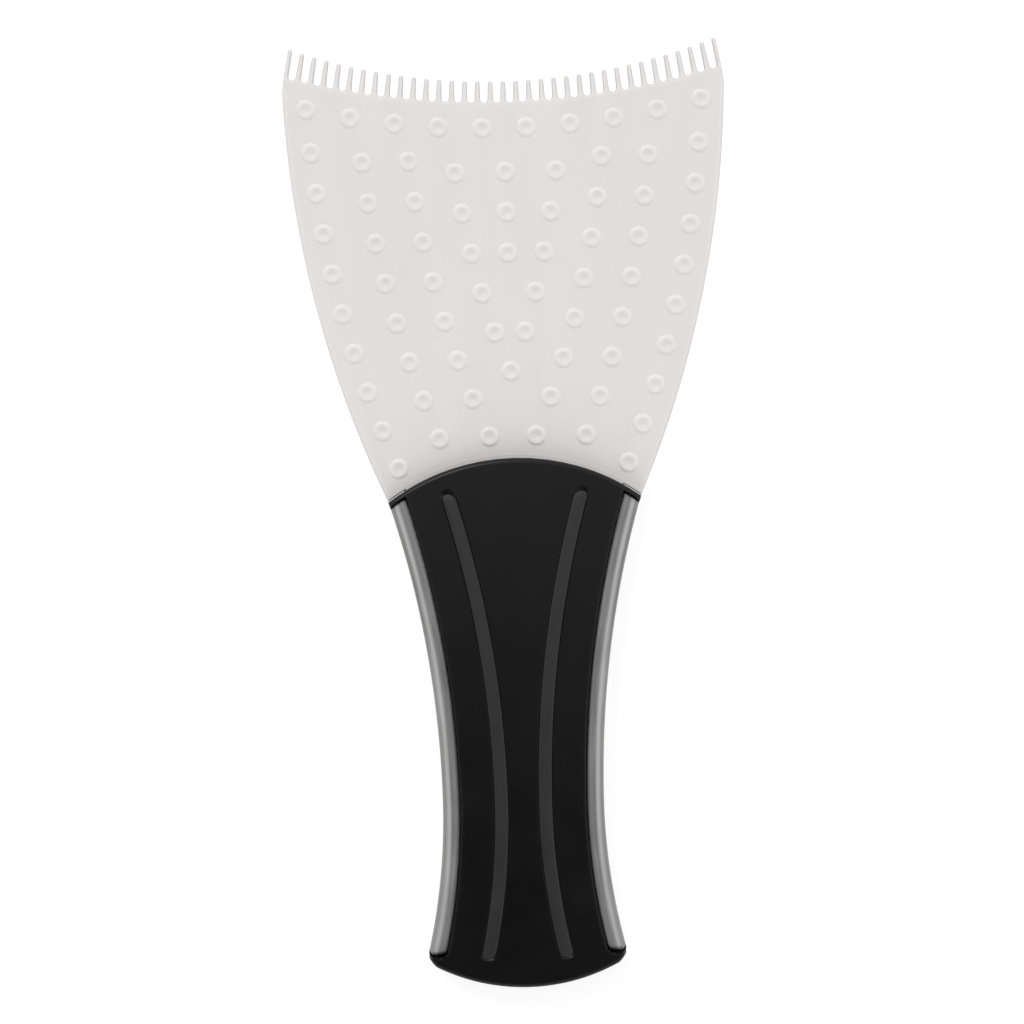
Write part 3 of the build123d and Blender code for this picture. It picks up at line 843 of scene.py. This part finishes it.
def black_plastic():
    """Polished black plastic: hairline rub marks along the handle, faint handling haze and
    slightly greyer, rougher edges where it is picked up."""
    finish = Finish("black_polished_plastic", Specular_IOR_Level=0.25)
    place = finish.place()
    hairs = finish.noise(finish.stretched(place, (900.0, 35.0, 300.0)), 1.0, 3.0, 0.6)
    crossed = finish.noise(finish.stretched(place, (60.0, 1100.0, 60.0)), 1.0, 2.0, 0.6)
    haze = finish.noise(place, 55.0, 4.0, 0.6)
    grain = finish.noise(place, 1500.0, 2.0)
    worn = (1.0 - finish.reading("edge") / 0.9).held(0.0, 1.0) * (haze + 0.25)
    tone = (worn * 0.25 + (haze - 0.4) * 0.2 + (hairs - 0.5) * 0.08).held(0.0, 1.0)
    finish.set("Base Color", finish.blend(tone, grey(0.0036), grey(0.012, 0.01)))
    rough = 0.3 + (haze - 0.5) * 0.14 + (hairs - 0.5) * 0.05 + worn * 0.12
    finish.set("Roughness", rough.held(0.14, 0.6))
    scuffed = finish.bump(hairs * 0.6 + crossed * 0.4, 0.05, 0.00002)
    finish.set("Normal", finish.bump(grain, 0.06, 0.00002, scuffed))
    return finish.material


def grey_grip():
    """Soft grey band: two painted highlight lines and faint streaks run along it, under a fine matt
    skin.
    """
    finish = Finish("light_grey_soft_grip", Specular_IOR_Level=0.5)
    place = finish.place()
    across = finish.reading("across")
    along = finish.reading("along")
    upward = finish.reading("upward")
    section = {0: across * 4.0, 1: upward * 4.0, 2: along * 0.035}
    streaks = finish.noise(finish.node("ShaderNodeCombineXYZ", {}, section), 1.0, 3.0, 0.6)
    clouds = finish.noise(place, 90.0, 3.0)
    grain = finish.noise(place, 2200.0, 2.0)
    # painted highlights: two pale lines along the band, one by its inner edge and one past its
    # middle, where a glossy bead would catch light
    painted_inner_highlight = ((across - 1.0) * (across - 1.0)).fade(0.09)
    painted_main_highlight = ((across + 0.3) * (across + 0.3)).fade(0.06)
    bands = painted_inner_highlight * 2.2 + painted_main_highlight * 0.75
    top = (upward * 2.0 - 0.6).held(0.25, 1.0)
    tone = (bands + (streaks - 0.5) * top + (clouds - 0.5) * 0.3 + 0.2).held(0.0, 1.0)
    finish.set("Base Color", finish.blend(tone, grey(0.12), grey(0.43, 0.005)))
    finish.set("Roughness", (0.48 + (clouds - 0.5) * 0.2 + (grain - 0.5) * 0.1).held(0.2, 0.8))
    waved = finish.bump(streaks, 0.3, 0.0002)
    finish.set("Normal", finish.bump(grain, 0.14, 0.00005, waved))
    return finish.material


def charcoal_strip():
    """Charcoal rubber strip: pebbled grain, a dusty bloom and shoulders painted darker as shade."""
    finish = Finish("charcoal_rubber", Specular_IOR_Level=0.45)
    place = finish.place()
    across = finish.reading("across")
    bloom = finish.noise(place, 120.0, 4.0, 0.65)
    pebbles = finish.node("ShaderNodeTexVoronoi", {}, {"Vector": place, "Scale": 2400.0})
    # painted shade: the strip's colour is darker towards its rounded shoulders and paler along its
    # middle
    shoulder = (across * across).held(0.0, 1.0)
    tone = ((bloom - 0.35) * 1.2 + (1.0 - shoulder) * 0.45).held(0.0, 1.0)
    finish.set("Base Color", finish.blend(tone, grey(0.0045), grey(0.015, 0.01)))
    finish.set("Roughness", (0.55 + (bloom - 0.5) * 0.25).held(0.3, 0.9))
    finish.set("Normal", finish.bump(pebbles, 0.3, 0.00006))
    return finish.material


# --- Camera, light and floor -----------------------------------------------------------
framed_width = 271.5        # width of the view at the height of the board's face
camera_x = -0.83
camera_y = 0.4
camera_turn = math.radians(1.65)
floor_half_size = 6.0       # metres
floor_drop = 0.2
floor_glow = 0.8


def make_camera():
    """Straight above the front face, turned a little so that the handle's end points right."""
    data = bpy.data.cameras.new("camera")
    data.lens = 100.0
    data.sensor_width = 36.0
    camera = bpy.data.objects.new("camera", data)
    face_z = parting_z + half_thickness
    distance = framed_width * data.lens / data.sensor_width
    camera.location = (camera_x * MM, camera_y * MM, (face_z + distance) * MM)
    camera.rotation_euler = (0.0, 0.0, -camera_turn)
    bpy.context.collection.objects.link(camera)
    bpy.context.scene.camera = camera


def soft_light(name, direction, strength, softness):
    """Even light from far away in one direction, softened over an angle in degrees."""
    data = bpy.data.lights.new(name, "SUN")
    data.energy = strength
    data.angle = math.radians(softness)
    lamp = bpy.data.objects.new(name, data)
    lamp.rotation_euler = (-Vector(direction)).to_track_quat("-Z", "Y").to_euler()
    bpy.context.collection.objects.link(lamp)


def make_surroundings():
    """Bright walls under a ceiling that is bright on the board's side and dark on the
    handle's, so that glossy faces seen from above stay dark and shade off along the handle."""
    world = bpy.data.worlds.new("studio")
    world.use_nodes = True
    bpy.context.scene.world = world
    nodes = Nodes(world.node_tree)
    _, forward, up = nodes.axes(nodes.node("ShaderNodeTexCoord", {}, {}, output=0))
    wall = ((0.95 - up) / 0.45).held(0.0, 1.0)
    ceiling = (forward * 2.2 + 0.3).held(0.0, 1.0)
    level = wall + (1.0 - wall) * ceiling
    backdrop = world.node_tree.nodes["Background"]
    nodes.feed(backdrop.inputs["Color"], (1.0, 1.0, 1.0, 1.0))
    nodes.feed(backdrop.inputs["Strength"], level)


def make_floor():
    """A plain pale floor just under the handle's flat back."""
    mesh = bpy.data.meshes.new("floor")
    signs = [(-1, -1), (1, -1), (1, 1), (-1, 1)]
    size = floor_half_size
    corners = [(x * size, y * size, -floor_drop * MM) for x, y in signs]
    mesh.from_pydata(corners, [], [(0, 1, 2, 3)])
    finish = Finish("pale_floor", Roughness=0.9, Specular_IOR_Level=0.1)
    finish.set("Base Color", grey(0.3))
    finish.shader.inputs["Emission Color"].default_value = (1, 1, 1, 1)
    finish.shader.inputs["Emission Strength"].default_value = floor_glow
    mesh.materials.append(finish.material)
    floor = bpy.data.objects.new("floor", mesh)
    bpy.context.collection.objects.link(floor)


make_camera()
make_surroundings()
make_floor()
soft_light("key_light", (-0.45, 0.9, 1.0), 0.75, 26.0)
soft_light("fill_light", (0.9, -0.25, 1.0), 0.32, 40.0)
bpy.context.scene.view_settings.view_transform = "Standard"

make_board(white_plastic())
plan = handle_plan()
black = black_plastic()
make_front_shell(black, plan)
make_back_shell(black, plan)
make_side_grips(grey_grip())
make_inlays(charcoal_strip())
